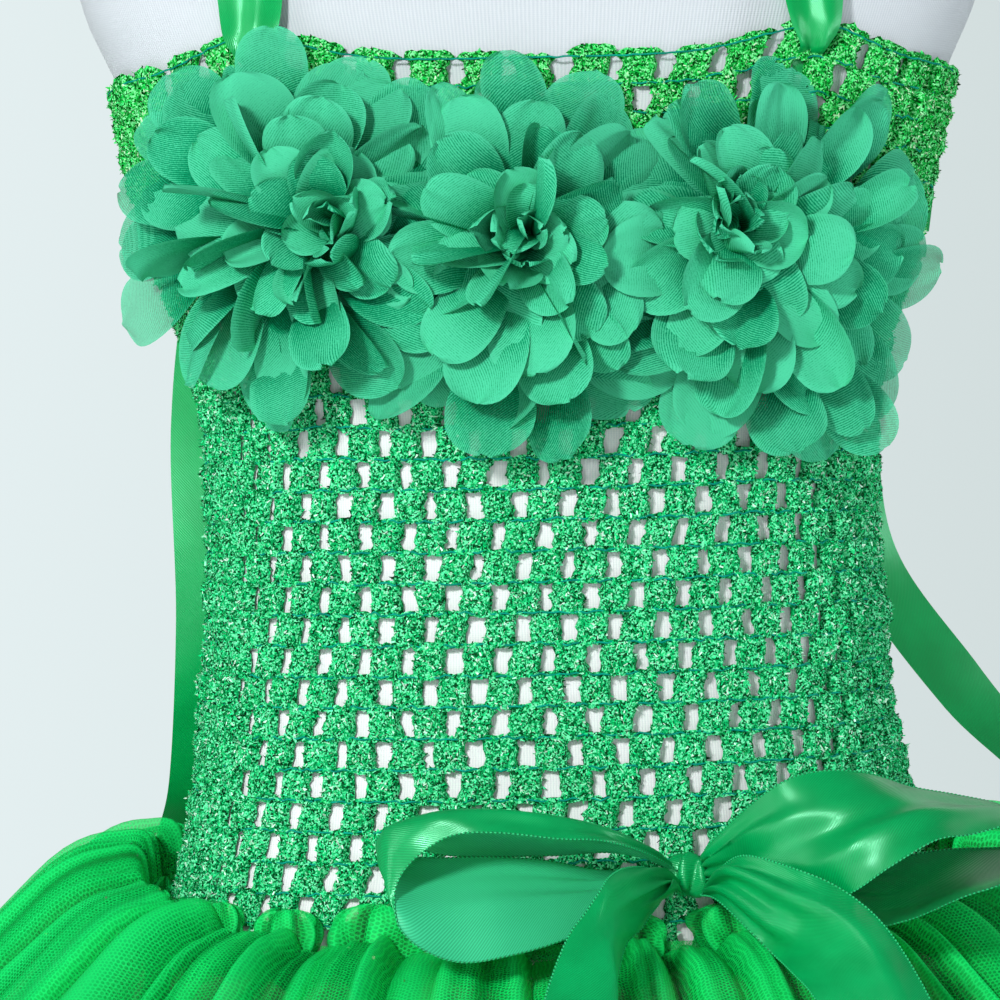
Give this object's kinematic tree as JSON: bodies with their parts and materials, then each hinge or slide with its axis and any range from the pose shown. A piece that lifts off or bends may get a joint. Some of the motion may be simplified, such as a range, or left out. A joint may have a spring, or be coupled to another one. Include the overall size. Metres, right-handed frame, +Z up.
{
  "type": "fairy costume dress on a dress form",
  "caption": "Child's fairy dress with a crochet tube top, ribbon straps, fabric flowers, a satin waist bow and a knotted tulle skirt, on a smooth limbless dress form with a round base.",
  "frame": {"origin": "centre of the underside of the stand's base, on the floor under the middle of the dress", "axes": "+Z up, -Y towards the viewer who faces the dress's front, +X to that viewer's right"},
  "size_m": [0.5484, 0.4988, 0.876],
  "materials": {
    "crochet_yarn": "glitter yarn, crocheted in even rows with a teal elastic thread between them",
    "chiffon": "thin matte chiffon, slightly see-through at single layers",
    "satin_ribbon": "glossy satin face, twill back, whip-stitched edges",
    "tulle": "soft hexagonal net in loose bundles with a few sparkles",
    "form_jersey": "white stretched jersey with fine vertical ribs",
    "stand_metal": "pale satin paint"
  },
  "bodies": {
    "root": {"back_knot_left": "satin_ribbon", "back_knot_right": "satin_ribbon", "back_loop_inner_left": "satin_ribbon", "back_loop_inner_right": "satin_ribbon", "back_loop_outer_left": "satin_ribbon", "back_loop_outer_right": "satin_ribbon", "back_tail_inner_left": "satin_ribbon", "back_tail_inner_right": "satin_ribbon", "back_tail_outer_left": "satin_ribbon", "back_tail_outer_right": "satin_ribbon", "bow_knot": "satin_ribbon", "bow_loop_left": "satin_ribbon", "bow_loop_right": "satin_ribbon", "bow_tail_left": "satin_ribbon", "bow_tail_right": "satin_ribbon", "crochet_tube": "crochet_yarn", "flower_left_back": "chiffon", "flower_left_front": "chiffon", "flower_left_heart": "chiffon", "flower_left_middle": "chiffon", "flower_middle_back": "chiffon", "flower_middle_front": "chiffon", "flower_middle_heart": "chiffon", "flower_middle_middle": "chiffon", "flower_right_back": "chiffon", "flower_right_front": "chiffon", "flower_right_heart": "chiffon", "flower_right_middle": "chiffon", "form_torso": "form_jersey", "stand_base": "stand_metal", "stand_pole": "stand_metal", "strap_left": "satin_ribbon", "strap_right": "satin_ribbon", "tulle_strip_01": "tulle", "tulle_strip_02": "tulle", "tulle_strip_03": "tulle", "tulle_strip_04": "tulle", "tulle_strip_05": "tulle", "tulle_strip_06": "tulle", "tulle_strip_07": "tulle", "tulle_strip_08": "tulle", "tulle_strip_09": "tulle", "tulle_strip_10": "tulle", "tulle_strip_11": "tulle", "tulle_strip_12": "tulle", "tulle_strip_13": "tulle", "tulle_strip_14": "tulle", "tulle_strip_15": "tulle", "tulle_strip_16": "tulle", "tulle_strip_17": "tulle", "tulle_strip_18": "tulle", "tulle_strip_19": "tulle", "tulle_strip_20": "tulle", "tulle_strip_21": "tulle", "tulle_strip_22": "tulle", "tulle_strip_23": "tulle", "tulle_strip_24": "tulle"}
  },
  "joints": []
}
